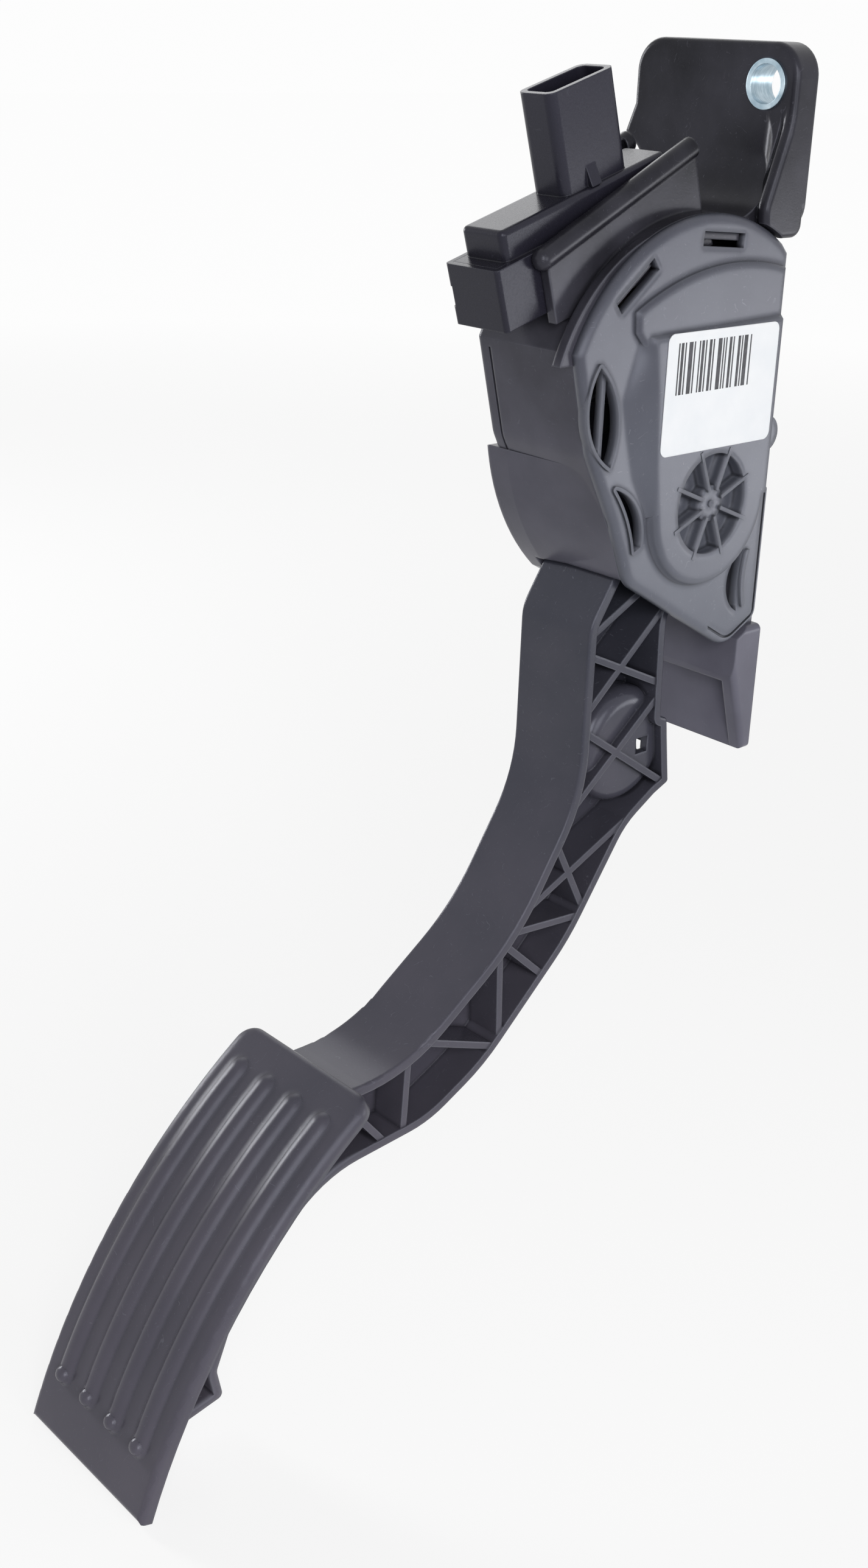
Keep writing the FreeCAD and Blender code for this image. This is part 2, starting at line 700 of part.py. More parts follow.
def connector_housing():
    """Base block plugged into the tray, with the open shroud on it."""
    half = base_width / 2
    base = rounded_block(-half, half, base_start, module_length - tray_wall, tray_height, base_top, base_corner)
    upper = [e for e in base.Edges if abs(e.CenterOfMass.z - base_top) < 1e-6]
    base = base.makeFillet(base_edge, upper)
    plug = block(
        -tray_width / 2 + tray_wall, tray_width / 2 - tray_wall, tray_wall, module_length - tray_wall,
        tray_height - plug_depth, tray_height)
    y0 = shroud_middle - shroud_length / 2
    y1 = shroud_middle + shroud_length / 2
    side = shroud_width / 2
    shroud = rounded_block(-side, side, y0, y1, tray_height, shroud_top, shroud_corner)
    cavity = rounded_block(
        -side + shroud_wall, side - shroud_wall, y0 + shroud_wall, y1 - shroud_wall,
        shroud_top - shroud_depth, shroud_top + OVERCUT, shroud_corner - shroud_wall / 2)
    latch = Part.Face(Part.makePolygon([
        vec(0, latch_place, base_top), vec(side + latch_rise, latch_place, base_top),
        vec(side, latch_place, base_top + latch_height), vec(0, latch_place, base_top + latch_height),
        vec(0, latch_place, base_top)])).extrude(vec(0, latch_width, 0))
    body = base.fuse([plug, shroud, latch]).cut(cavity)
    return in_module(body.cut(terminal_row()))


def terminal_row():
    """Square blades in one line, from the board up into the shroud."""
    half = terminal_size / 2
    foot = tray_wall + board_lift
    tip = shroud_top - shroud_depth + terminal_reach
    blades = []
    for i in range(terminal_count):
        place = shroud_middle + terminal_pitch * (i - (terminal_count - 1) / 2)
        blades.append(block(-half, half, place - half, place + half, foot, tip))
    return Part.makeCompound(blades)


def terminals():
    return in_module(terminal_row())


def circuit_board():
    half = tray_width / 2 - tray_wall - face_gap
    low = tray_wall + board_lift
    start = tray_wall + face_gap
    board = block(-half, half, start, start + board_length, low, low + board_thickness)
    return in_module(board.cut(terminal_row()))


def board_parts(size, places):
    """Surface-mounted pieces standing on the board."""
    size_x, size_y, size_z = size
    foot = tray_wall + board_lift + board_thickness
    pieces = []
    for x, y in places:
        pieces.append(block(
            x - size_x / 2, x + size_x / 2, y - size_y / 2, y + size_y / 2, foot, foot + size_z))
    return in_module(Part.makeCompound(pieces))


def sensor_chips():
    return board_parts(chip_size, [(0, place) for place in chip_places])


def board_capacitors():
    places = [(capacitor_x, capacitor_start + capacitor_pitch * i) for i in range(capacitor_count)]
    return board_parts(capacitor_size, places)


# Pedal


def pad_chord():
    return math.hypot(pad_foot_y - pad_top_y, pad_foot_z - pad_top_z)


def pad_radius():
    """Radius of the pad's crowned face."""
    return pad_chord() ** 2 / (8 * pad_crown) + pad_crown / 2


def pad_arc(share, depth):
    """Point of the pad's curved face: share runs from its top to its foot, depth goes in from the face."""
    top = vec(0, pad_top_y, pad_top_z)
    foot = vec(0, pad_foot_y, pad_foot_z)
    along = (foot - top).normalize()
    outward = vec(0, along.z, -along.y)
    radius = pad_radius()
    centre = (top + foot) * 0.5 - outward * (radius - pad_crown)
    half_angle = math.asin(pad_chord() / 2 / radius)
    angle = half_angle * (2 * share - 1)
    return centre + (outward * math.cos(angle) + along * math.sin(angle)) * (radius - depth)


def pad_corner_point(share, depth, radius):
    point = pad_arc(share, depth)
    return point.y, point.z, radius


def beside(y, z, corners):
    """Outline corners that are given from an end of the pad."""
    return [(y + step_y, z + step_z, radius) for step_y, step_z, radius in corners]


def arm_wire():
    """Side outline of the arm and of the beam behind the pad, from the pivot."""
    mid = pad_thickness / 2
    corners = [(-neck, 0, 0)] + list(arm_front) + beside(pad_top_y, pad_top_z, [arm_at_pad])
    for share, kind in ((beam_start, 0), (0.5, THROUGH), (beam_end, 0)):
        corners.append(pad_corner_point(share, mid, kind))
    corners += beside(pad_foot_y, pad_foot_z, beam_foot) + beside(pad_top_y, pad_top_z, beam_head)
    return side_wire(corners + list(arm_rear) + [(neck, 0, 0)])


def lattice():
    """Diagonal ribs between the arm's front and rear flanges, by their end points from the pivot."""
    half = arm_width / 2 - rib_drop
    ribs = []
    for (y0, z0), (y1, z1) in zip(rib_fronts, rib_rears):
        run = vec(0, y1 - y0, z1 - z0)
        bar = block(-half, half, -2 * flange, run.Length + 2 * flange, -rib / 2, rib / 2)
        bar.rotate(vec(0, 0, 0), vec(1, 0, 0), math.degrees(math.atan2(run.z, run.y)))
        bar.translate(vec(0, y0, z0))
        ribs.append(bar)
    return ribs


def on_pad_face(edge):
    """True for an edge that lies all along on the pad's outer face."""
    centre = pad_arc(0.5, pad_radius())
    for share in (0, 0.5, 1):
        span = edge.LastParameter - edge.FirstParameter
        point = edge.valueAt(edge.FirstParameter + span * share)
        if abs(vec(0, point.y - centre.y, point.z - centre.z).Length - pad_radius()) > 1e-4:
            return False
    return True


def pad():
    """Crowned foot plate with rounded top corners and four raised beads along it."""
    face = side_wire([
        pad_corner_point(0, 0, 0), pad_corner_point(0.5, 0, THROUGH), pad_corner_point(1, 0, 0),
        pad_corner_point(1, pad_thickness, 0), pad_corner_point(0.5, pad_thickness, THROUGH),
        pad_corner_point(0, pad_thickness, 0)])
    plate = prism(face, -pad_width / 2, pad_width / 2)
    short = []
    for edge in plate.Edges:
        across = abs(edge.tangentAt(edge.FirstParameter).x) > 0.9
        if not across and edge.Length < 2 * pad_thickness and edge.CenterOfMass.z > pad_top_z - pad_corner:
            short.append(edge)
    plate = plate.makeFillet(pad_corner, short)
    brim = [e for e in plate.Edges if on_pad_face(e)]
    plate = plate.makeFillet(pad_edge, brim)
    sunk = bead_radius - bead_height
    beads = []
    for i in range(bead_count):
        x = bead_pitch * (i - (bead_count - 1) / 2)
        start = pad_arc(bead_start, sunk)
        middle = pad_arc((bead_start + bead_end) / 2, sunk)
        end = pad_arc(bead_end, sunk)
        path = Part.Wire(Part.Arc(start, middle, end).toShape())
        tangent = path.Edges[0].tangentAt(path.Edges[0].FirstParameter)
        section = Part.Wire(Part.makeCircle(bead_radius, start, tangent))
        bead = path.makePipeShell([section], True, False)
        bead = bead.fuse([Part.makeSphere(bead_radius, start), Part.makeSphere(bead_radius, end)])
        bead.translate(vec(x, 0, 0))
        beads.append(bead)
    deep = pad_thickness + 2 * bead_radius
    behind = side_wire([
        pad_corner_point(0, pad_thickness, 0), pad_corner_point(0.5, pad_thickness, THROUGH),
        pad_corner_point(1, pad_thickness, 0), pad_corner_point(1, deep, 0),
        pad_corner_point(0.5, deep, THROUGH), pad_corner_point(0, deep, 0)])
    return plate.fuse(beads).cut(prism(behind, -pad_width, pad_width))


def lever():
    """Upright end of the arm inside the case. Its left half stops below the friction track."""
    half = lever_width / 2
    shape = block(-half, half, -lever_thickness / 2, lever_thickness / 2, 0, lever_low_top)
    tall = block(0, half, -lever_thickness / 2, lever_thickness / 2, 0, target_radius - target_thickness)
    shape = shape.fuse(tall).cut(rod(0, rocker_pin_z, rocker_pin_radius + seat_gap, -half, half))
    shape.rotate(vec(0, 0, 0), vec(1, 0, 0), -lever_angle)
    return shape


def pedal_arm():
    outer = arm_wire()
    inner = inset(outer, flange)
    half = arm_width / 2
    pocket = prism(inner, -half, half)
    arm = prism(outer, -half, half)
    arm = arm.makeFillet(arm_edge, edges_at_x(arm, half) + edges_at_x(arm, -half))
    arm = arm.cut(pocket).fuse(prism(inner, -web / 2, web / 2))
    arm = arm.fuse([bar.common(pocket) for bar in lattice()])
    boss_x = half - stop_boss_sink
    boss = rod(stop_boss[0], stop_boss[1], stop_boss_radius, -web / 2, boss_x)
    boss = boss.makeFillet(stop_boss_edge, edges_at_x(boss, boss_x))
    hollow = rod(stop_boss[0], stop_boss[1], stop_boss_radius - wall, -web / 2, boss_x - wall)
    arm = arm.fuse(boss.common(pocket)).cut(hollow.common(pocket))
    hole_y, hole_z = core_hole
    reach = core_hole_size / 2
    hole = block(0, arm_width, hole_y - reach, hole_y + reach, hole_z - reach, hole_z + reach)
    low = hole_z - core_window_drop
    window = block(core_window[0], core_window[1], hole_y, hole_y + hub_radius, low - reach, low + reach)
    arm = arm.cut([hole, window])
    arm = arm.fuse([rod(0, 0, hub_radius, -half, half), lever(), pad()])
    arm = arm.cut(rod(0, 0, pin_radius + seat_gap, -arm_width, arm_width))
    return at_pivot(arm.removeSplitter())


def pivot_pin():
    return rod(pivot_y, pivot_z, pin_radius, -pin_end_x, pin_end_x)


def bush(x0, x1):
    ring = rod(pivot_y, pivot_z, bush_radius, x0, x1)
    return ring.cut(rod(pivot_y, pivot_z, pin_radius + running_gap, x0, x1))


# Springs and stops


def in_lever(shape):
    """Pieces that go with the lever are drawn on an upright lever and then leaned back with it."""
    shape.rotate(vec(0, 0, 0), vec(1, 0, 0), -lever_angle)
    return at_pivot(shape)


def along_spring(radius, y0, y1):
    """Round piece on the springs' axis."""
    return Part.makeCylinder(radius, y1 - y0, vec(0, y0, spring_height), vec(0, 1, 0))


def seat_face():
    """Place on the springs' axis where they sit, in front of the sloping front wall."""
    axis = in_lever(Part.makeLine(vec(0, -2 * crown_radius, spring_height), vec(0, 0, spring_height)))
    room = axis.common(Part.Face(inset(case_wire(), wall))).Length
    return seat_thickness - room


def spring_seat():
    """Cup that fills the corner between the springs and the sloping front wall."""
    face = seat_face()
    seat = along_spring(cup_radius, face - 2 * cup_radius, face + cup_depth)
    seat = in_lever(seat.cut(along_spring(cup_radius - cup_wall, face, face + cup_depth)))
    return seat.common(prism(inset(case_wire(), wall), -inner_half, inner_half))


def coil_spring(coil_radius, wire_radius, turns):
    face = seat_face()
    pitch = (rocker_face_y - face - 2 * wire_radius) / turns
    path = Part.makeHelix(pitch, pitch * turns, coil_radius)
    section = Part.Wire(Part.makeCircle(wire_radius, vec(coil_radius, 0, 0), vec(0, 1, 0)))
    spring = Part.Wire(path.Edges).makePipeShell([section], True, True)
    spring.translate(vec(0, 0, wire_radius))
    spring.rotate(vec(0, 0, 0), vec(1, 0, 0), -90)
    spring.translate(vec(0, face, spring_height))
    return in_lever(spring)


def friction_lever():
    """Rocker in front of the lever: a spring plate, a finger up to the track and a cheek for its pin."""
    left = -inner_half + side_gap
    right = track_width - inner_half
    plate = along_spring(cup_radius, rocker_face_y, -lever_thickness / 2)
    finger = block(left, right, rocker_face_y, -lever_thickness / 2, spring_height, lever_low_top)
    shoe = block(left, right, rocker_face_y, lever_thickness / 2, lever_low_top, track_radius)
    shoe = shoe.common(rod(0, 0, track_radius - face_gap - lining_thickness, left, right))
    cheek = block(
        left, -lever_width / 2 - seat_gap, rocker_face_y, lever_thickness / 2,
        rocker_pin_z - 2 * rocker_pin_radius, lever_low_top)
    rocker = plate.fuse([finger, shoe, cheek])
    rocker = rocker.cut(rod(0, rocker_pin_z, rocker_pin_radius + seat_gap, left, 0))
    return in_lever(rocker)


def friction_lining():
    """Wearing shoe between the rocker and the friction track."""
    left = -inner_half + side_gap
    right = track_width - inner_half
    outer = rod(0, 0, track_radius - face_gap, left, right)
    shoe = outer.cut(rod(0, 0, track_radius - face_gap - lining_thickness, left, right))
    span = block(left, right, rocker_face_y + side_gap, lever_thickness / 2 - side_gap, 0, track_radius)
    return in_lever(shoe.common(span))


def rocker_pin():
    return in_lever(rod(0, rocker_pin_z, rocker_pin_radius, -inner_half + side_gap, lever_width / 2))


def idle_bumper():
    """Rubber stop on the back wall, with a round nose against the released lever."""
    lean = math.radians(lever_angle)
    face_y = pivot_y + bumper_height * math.tan(lean) + lever_thickness / 2 / math.cos(lean)
    nose_y = face_y + (bumper_radius + face_gap) / math.cos(lean)
    place = vec(lever_width / 4, nose_y, pivot_z + bumper_height)
    stem = Part.makeCylinder(bumper_radius, case_back_y - wall - nose_y, place, vec(0, 1, 0))
    return stem.fuse(Part.makeSphere(bumper_radius, place))


def target_plate():
    """Metal target on the lever's tall half, which passes under the coil board."""
    half = lever_thickness / 2
    plate = block(
        target_margin, lever_width / 2 - target_margin, -half, half, target_radius - target_thickness, target_radius)
    return in_lever(plate)


def parts():
    return {
        "housing": housing(),
        "side_cover": side_cover(),
        "label": label(),
        "mounting_sleeve": mounting_sleeve(),
        "sensor_tray": sensor_tray(),
        "connector_housing": connector_housing(),
        "terminals": terminals(),
        "circuit_board": circuit_board(),
        "sensor_chips": sensor_chips(),
        "board_capacitors": board_capacitors(),
        "pedal_arm": pedal_arm(),
        "pivot_pin": pivot_pin(),
        "left_bush": bush(-pin_end_x, -bearing_x),
        "right_bush": bush(bearing_x, pin_end_x),
        "spring_seat": spring_seat(),
        "outer_spring": coil_spring(outer_coil_radius, outer_wire_radius, outer_turns),
        "inner_spring": coil_spring(inner_coil_radius, inner_wire_radius, inner_turns),
        "friction_lever": friction_lever(),
        "friction_lining": friction_lining(),
        "rocker_pin": rocker_pin(),
        "idle_bumper": idle_bumper(),
        "target_plate": target_plate(),
    }


os.makedirs("parts", exist_ok=True)
for name, shape in parts().items():
    shape.exportStep("parts/" + name + ".step")
    print(name, shape.isValid(), len(shape.Solids), round(shape.Volume, 1))
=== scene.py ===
import math
import bmesh
import bpy
from mathutils import Matrix, Vector


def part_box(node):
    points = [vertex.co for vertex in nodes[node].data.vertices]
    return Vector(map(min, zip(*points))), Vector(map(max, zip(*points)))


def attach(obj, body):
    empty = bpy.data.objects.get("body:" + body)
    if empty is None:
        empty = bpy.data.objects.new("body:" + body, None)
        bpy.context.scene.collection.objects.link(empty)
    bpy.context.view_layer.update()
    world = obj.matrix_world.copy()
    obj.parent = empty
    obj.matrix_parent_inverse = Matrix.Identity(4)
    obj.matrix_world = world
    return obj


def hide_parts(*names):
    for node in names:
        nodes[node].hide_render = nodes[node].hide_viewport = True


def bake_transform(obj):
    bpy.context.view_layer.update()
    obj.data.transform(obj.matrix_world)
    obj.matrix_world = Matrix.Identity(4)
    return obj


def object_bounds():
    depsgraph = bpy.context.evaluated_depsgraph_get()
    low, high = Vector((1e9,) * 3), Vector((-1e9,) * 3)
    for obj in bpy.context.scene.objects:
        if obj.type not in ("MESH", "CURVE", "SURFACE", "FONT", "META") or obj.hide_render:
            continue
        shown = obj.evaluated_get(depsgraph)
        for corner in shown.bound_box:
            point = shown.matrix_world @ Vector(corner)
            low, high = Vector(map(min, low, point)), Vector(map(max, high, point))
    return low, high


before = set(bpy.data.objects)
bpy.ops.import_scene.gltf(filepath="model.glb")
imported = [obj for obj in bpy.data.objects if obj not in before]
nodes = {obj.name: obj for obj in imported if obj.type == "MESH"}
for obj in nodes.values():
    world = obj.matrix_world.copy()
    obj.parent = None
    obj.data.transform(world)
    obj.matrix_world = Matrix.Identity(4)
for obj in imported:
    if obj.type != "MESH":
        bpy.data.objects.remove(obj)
cad_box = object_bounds()

# Case: one shell moulded in black glass-filled nylon, with the bolting plate, the module rails and the
# lower tab in the same shot. The tool was spark-eroded, so the skin is satin, and everything else is
# clipped or pressed into it.
MM = 0.001
CLOUD_SIZE = 22 * MM
GRAIN_SIZE = 0.45 * MM
CREASE_REACH = 1.2 * MM
SCUFF_WIDTH, SCUFF_LENGTH = 0.6 * MM, 14 * MM
NYLON_IOR = 1.53


def linear(code):
    """Linear colour for a shader from an sRGB hex code."""
    channels = [int(code[i:i + 2], 16) / 255 for i in (1, 3, 5)]
    return [c / 12.92 if c <= 0.04045 else ((c + 0.055) / 1.055) ** 2.4 for c in channels] + [1.0]


def add(tree, kind, inputs=(), **settings):
    """New node: an input that is another node's output is linked, any other is set on its socket."""
    made = tree.nodes.new(kind)
    for name, value in settings.items():
        setattr(made, name, value)
    for name, value in dict(inputs).items():
        if isinstance(value, bpy.types.NodeSocket):
            tree.links.new(value, made.inputs[name])
        else:
            made.inputs[name].default_value = value
    return made


def start_material(name):
    """Empty material: gives the material, its tree, its shader and the place on the part in metres."""
    material = bpy.data.materials.new(name)
    material.use_nodes = True
    tree = material.node_tree
    tree.nodes.clear()
    shader = add(tree, "ShaderNodeBsdfPrincipled")
    add(tree, "ShaderNodeOutputMaterial", {"Surface": shader.outputs["BSDF"]})
    place = add(tree, "ShaderNodeTexCoord").outputs["Object"]
    return material, tree, shader, place


def paint(names, material):
    """Gives pieces one finish all over."""
    for name in names:
        nodes[name].data.materials.clear()
        nodes[name].data.materials.append(material)


def moulded_black(name, dark, pale, worn_and_highlit, roughness, gloss, edge_mm, shade_from_mm, shade_to_mm):
    """Black engineering plastic from an eroded tool. Its colour grades with height between two tones, as
    painted shade and light, and is faintly cloudy. Proud edges are lightened, partly as wear and partly as a
    painted highlight; creases carry painted shade; fine scuffs are drawn. The real grain of 0.15 mm is drawn
    at 0.45 mm so that it shows."""
    material, tree, shader, place = start_material(name)
    cloud = add(tree, "ShaderNodeTexNoise", {"Vector": place, "Scale": 1 / CLOUD_SIZE, "Detail": 4.0})
    grain = add(tree, "ShaderNodeTexNoise", {"Vector": place, "Scale": 1 / GRAIN_SIZE, "Detail": 2.0})
    height = add(tree, "ShaderNodeSeparateXYZ", {"Vector": place})
    # Painted shade and light: between the two given heights the colour grades from the first tone to the
    # second, darker where the part stands in shade and paler where more light falls.
    drift = add(tree, "ShaderNodeMapRange", {"Value": height.outputs["Z"], "From Min": shade_from_mm * MM,
                                             "From Max": shade_to_mm * MM, "To Max": 0.8})
    tone = add(tree, "ShaderNodeMapRange", {"Value": cloud.outputs["Fac"], "From Min": 0.35, "From Max": 0.65,
                                            "To Max": 0.2})
    share = add(tree, "ShaderNodeMath", {0: drift.outputs["Result"], 1: tone.outputs["Result"]},
                use_clamp=True)
    body = add(tree, "ShaderNodeMix", {0: share.outputs["Value"], 6: linear(dark), 7: linear(pale)},
               data_type="RGBA")
    soft = add(tree, "ShaderNodeBevel", {"Radius": edge_mm * MM}, name="soft_edge", samples=6)
    flat = add(tree, "ShaderNodeNewGeometry")
    turned = add(tree, "ShaderNodeVectorMath", {0: soft.outputs["Normal"], 1: flat.outputs["Normal"]},
                 operation="DOT_PRODUCT")
    edge = add(tree, "ShaderNodeMapRange", {"Value": turned.outputs["Value"],
                                            "From Min": 0.99, "From Max": 0.75})
    open_side = add(tree, "ShaderNodeAmbientOcclusion", {"Distance": CREASE_REACH},
                    samples=4, only_local=True)
    # Edges that stand proud are lightened towards the pale edge colour: partly real wear, partly a painted
    # highlight where a rounded edge catches the light.
    proud = add(tree, "ShaderNodeMapRange", {"Value": open_side.outputs["AO"],
                                             "From Min": 0.85, "From Max": 0.98, "To Max": 0.4})
    rubbed_and_highlit = add(tree, "ShaderNodeMath", {0: edge.outputs["Result"], 1: proud.outputs["Result"]},
                 operation="MULTIPLY")
    # Painted shade: shut-in creases are darkened towards near-black #0c0c10.
    shade_in_creases = add(tree, "ShaderNodeMapRange", {"Value": open_side.outputs["AO"],
                                              "From Min": 0.9, "From Max": 0.5, "To Max": 0.6})
    shaded_body = add(tree, "ShaderNodeMix", {0: shade_in_creases.outputs["Result"], 6: body.outputs[2],
                                          7: linear("#0c0c10")}, data_type="RGBA")
    warp = add(tree, "ShaderNodeVectorMath", {0: cloud.outputs["Color"], 1: (0.05, 0.05, 0.05), 2: place},
               operation="MULTIPLY_ADD")
    lay = add(tree, "ShaderNodeMapping", {"Vector": warp.outputs["Vector"], "Rotation": (0.6, 0.3, 0.9),
                                          "Scale": (1 / SCUFF_WIDTH, 1 / SCUFF_LENGTH, 1 / SCUFF_WIDTH)})
    scratch = add(tree, "ShaderNodeTexNoise", {"Vector": lay.outputs["Vector"], "Scale": 1.0, "Detail": 1.0})
    scuff = add(tree, "ShaderNodeMapRange", {"Value": scratch.outputs["Fac"],
                                             "From Min": 0.68, "From Max": 0.82, "To Max": 0.2})
    wear_and_highlight = add(tree, "ShaderNodeMath", {0: rubbed_and_highlit.outputs["Value"], 1: scuff.outputs["Result"]},
               operation="MAXIMUM")
    colour = add(tree, "ShaderNodeMix", {0: wear_and_highlight.outputs["Value"], 6: shaded_body.outputs[2], 7: linear(worn_and_highlit)},
                 data_type="RGBA")
    sheen = add(tree, "ShaderNodeMapRange", {"Value": grain.outputs["Fac"], "To Min": roughness - 0.06,
                                             "To Max": roughness + 0.06})
    bump = add(tree, "ShaderNodeBump", {"Height": grain.outputs["Fac"], "Normal": soft.outputs["Normal"],
                                        "Strength": 0.22, "Distance": 0.05 * MM})
    tree.links.new(colour.outputs[2], shader.inputs["Base Color"])
    tree.links.new(sheen.outputs["Result"], shader.inputs["Roughness"])
    tree.links.new(bump.outputs["Normal"], shader.inputs["Normal"])
    shader.inputs["IOR"].default_value = NYLON_IOR
    shader.inputs["Specular IOR Level"].default_value = gloss
    shader.inputs["Specular Tint"].default_value = linear("#e9ecfb")
    return material


# Moulded glass-filled nylon, satin. Its colour is painted almost black round the bolting plate and greyer
# down
# # the case and on the tab: painted shade at the top and painted light lower down.
case_nylon = moulded_black("moulded_nylon_case", "#121116", "#6d6c79", "#868793",
                           roughness=0.24, gloss=0.22, edge_mm=0.8, shade_from_mm=-25, shade_to_mm=-125)
paint(["housing"], case_nylon)

# Mounting sleeve: a turned steel tube, zinc-plated with a blue passivation, pressed into the bolting
# plate so that the bolt clamps on steel and not on plastic.
TARNISH_SIZE = 3 * MM


def worked_metal(name, dull, bright, roughness, line_mm, along):
    """Metal with the fine lines that its tool or die left, which change mostly along one direction."""
    material, tree, shader, place = start_material(name)
    lay = add(tree, "ShaderNodeMapping", {"Vector": place,
                                          "Scale": [step / (line_mm * MM) for step in along]})
    lines = add(tree, "ShaderNodeTexNoise", {"Vector": lay.outputs["Vector"], "Scale": 1.0, "Detail": 3.0})
    cloud = add(tree, "ShaderNodeTexNoise", {"Vector": place, "Scale": 1 / TARNISH_SIZE, "Detail": 3.0})
    share = add(tree, "ShaderNodeMath", {0: lines.outputs["Fac"], 1: cloud.outputs["Fac"]},
                operation="MULTIPLY")
    stretch = add(tree, "ShaderNodeMapRange", {"Value": share.outputs["Value"],
                                               "From Min": 0.12, "From Max": 0.4})
    colour = add(tree, "ShaderNodeMix", {0: stretch.outputs["Result"], 6: linear(dull), 7: linear(bright)},
                 data_type="RGBA")
    polish = add(tree, "ShaderNodeMapRange", {"Value": lines.outputs["Fac"], "To Min": roughness - 0.1,
                                              "To Max": roughness + 0.1})
    soft = add(tree, "ShaderNodeBevel", {"Radius": 0.25 * MM}, samples=4)
    bump = add(tree, "ShaderNodeBump", {"Height": lines.outputs["Fac"], "Normal": soft.outputs["Normal"],
                                        "Strength": 0.2, "Distance": 0.02 * MM})
    tree.links.new(colour.outputs[2], shader.inputs["Base Color"])
    tree.links.new(polish.outputs["Result"], shader.inputs["Roughness"])
    tree.links.new(bump.outputs["Normal"], shader.inputs["Normal"])
    shader.inputs["Metallic"].default_value = 1.0
    return material


# Blue zinc plate: cold, bright and finely ringed by the lathe.
zinc_plate = worked_metal("zinc_plated_turned_steel", "#8fa5b2", "#c3d3dc",
                          roughness=0.34, line_mm=0.3, along=(0.1, 1, 0.1))
paint(["mounting_sleeve"], zinc_plate)

# Plain bearings: two bushes turned from acetal rod, which the pivot pin runs in dry.
# One is pressed into the case and the other into the side cover.


def natural_plastic(name, cool, warm, roughness, cloud_mm, pit_mm):
    """Unpainted plastic, rubber or ceramic: a slow drift of tint, and fine pits that dull it in places."""
    material, tree, shader, place = start_material(name)
    cloud = add(tree, "ShaderNodeTexNoise", {"Vector": place, "Scale": 1 / (cloud_mm * MM), "Detail": 3.0})
    pits = add(tree, "ShaderNodeTexNoise", {"Vector": place, "Scale": 1 / (pit_mm * MM), "Detail": 2.0})
    drift = add(tree, "ShaderNodeMapRange", {"Value": cloud.outputs["Fac"],
                                             "From Min": 0.35, "From Max": 0.65})
    colour = add(tree, "ShaderNodeMix", {0: drift.outputs["Result"], 6: linear(cool), 7: linear(warm)},
                 data_type="RGBA")
    dulled = add(tree, "ShaderNodeMapRange", {"Value": pits.outputs["Fac"], "To Min": roughness - 0.1,
                                              "To Max": roughness + 0.1})
    soft = add(tree, "ShaderNodeBevel", {"Radius": 0.2 * MM}, samples=4)
    bump = add(tree, "ShaderNodeBump", {"Height": pits.outputs["Fac"], "Strength": 0.2, "Distance": 0.04 * MM,
                                        "Normal": soft.outputs["Normal"]})
    tree.links.new(colour.outputs[2], shader.inputs["Base Color"])
    tree.links.new(dulled.outputs["Result"], shader.inputs["Roughness"])
    tree.links.new(bump.outputs["Normal"], shader.inputs["Normal"])
    return material


# Natural acetal: milky, slightly waxy and a little warm. The spring seat and the rocker are of it too.
acetal = natural_plastic("natural_acetal", "#d9d7cf", "#e6e2d4", roughness=0.4, cloud_mm=6, pit_mm=0.3)
paint(["left_bush", "right_bush"], acetal)

# Pivot pin: a length of ground steel rod, pressed through the arm's hub so that it turns with the pedal.
# Ground steel: bright and even, with the lines of the grinding wheel round it.
ground_steel = worked_metal("ground_steel", "#9d9fa3", "#c9cbce",
                            roughness=0.28, line_mm=0.2, along=(1, 0.1, 0.1))
paint(["pivot_pin"], ground_steel)

# Pedal arm: lattice, hub, lever and curved pad in one moulding of the same nylon as the case.
# Glass-filled nylon, a greyer satin: painted darker at the top, where the case shades it, and painted
# # paler towards the pad's foot, where more light falls, and warmer there.
LATTICE_EDGE, BEAD_EDGE = 0.7 * MM, 2.4 * MM
ARM_END, PAD_START = -122 * MM, -134 * MM
BEADS_LOW, NUBS_HIGH = -166 * MM, -180 * MM
arm_nylon = moulded_black("moulded_nylon_arm", "#383a44", "#605c67", "#9598a4",
                          roughness=0.22, gloss=0.28, edge_mm=LATTICE_EDGE / MM, shade_from_mm=-115, shade_to_mm=-297)
paint(["pedal_arm"], arm_nylon)
# The beads run out softly into the pad's face, and only the lattice and the nubs at the foot are crisper.
tree = arm_nylon.node_tree
reach = add(tree, "ShaderNodeSeparateXYZ", {"Vector": add(tree, "ShaderNodeTexCoord").outputs["Object"]})
softer = add(tree, "ShaderNodeMapRange", {"Value": reach.outputs["Y"],
                                          "From Min": ARM_END, "From Max": PAD_START,
                                          "To Min": LATTICE_EDGE, "To Max": BEAD_EDGE})
crisper = add(tree, "ShaderNodeMapRange", {"Value": reach.outputs["Y"],
                                           "From Min": BEADS_LOW, "From Max": NUBS_HIGH,
                                           "To Min": BEAD_EDGE, "To Max": LATTICE_EDGE})
run_out = add(tree, "ShaderNodeMath", {0: softer.outputs["Result"], 1: crisper.outputs["Result"]},
              operation="MINIMUM")
tree.links.new(run_out.outputs["Value"], tree.nodes["soft_edge"].inputs["Radius"])
# The moulded brim is a full smooth round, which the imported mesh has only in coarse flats: a copy of the
# arm is cut finer there and laid on the round.
PAD_AXIS_Y, PAD_AXIS_Z = -36.247 * MM, -352.181 * MM
PAD_FACE = 168.589 * MM
PAD_HALF = 23.0 * MM
PAD_CORNER = 5.0 * MM
PAD_TOP, PAD_FOOT = math.radians(123.991), math.radians(160.534)
BRIM = 1.6 * MM
BRIM_STEP = 0.9 * MM
BRIM_SLACK = 0.1 * MM
ROUND_SLACK = 0.02 * MM
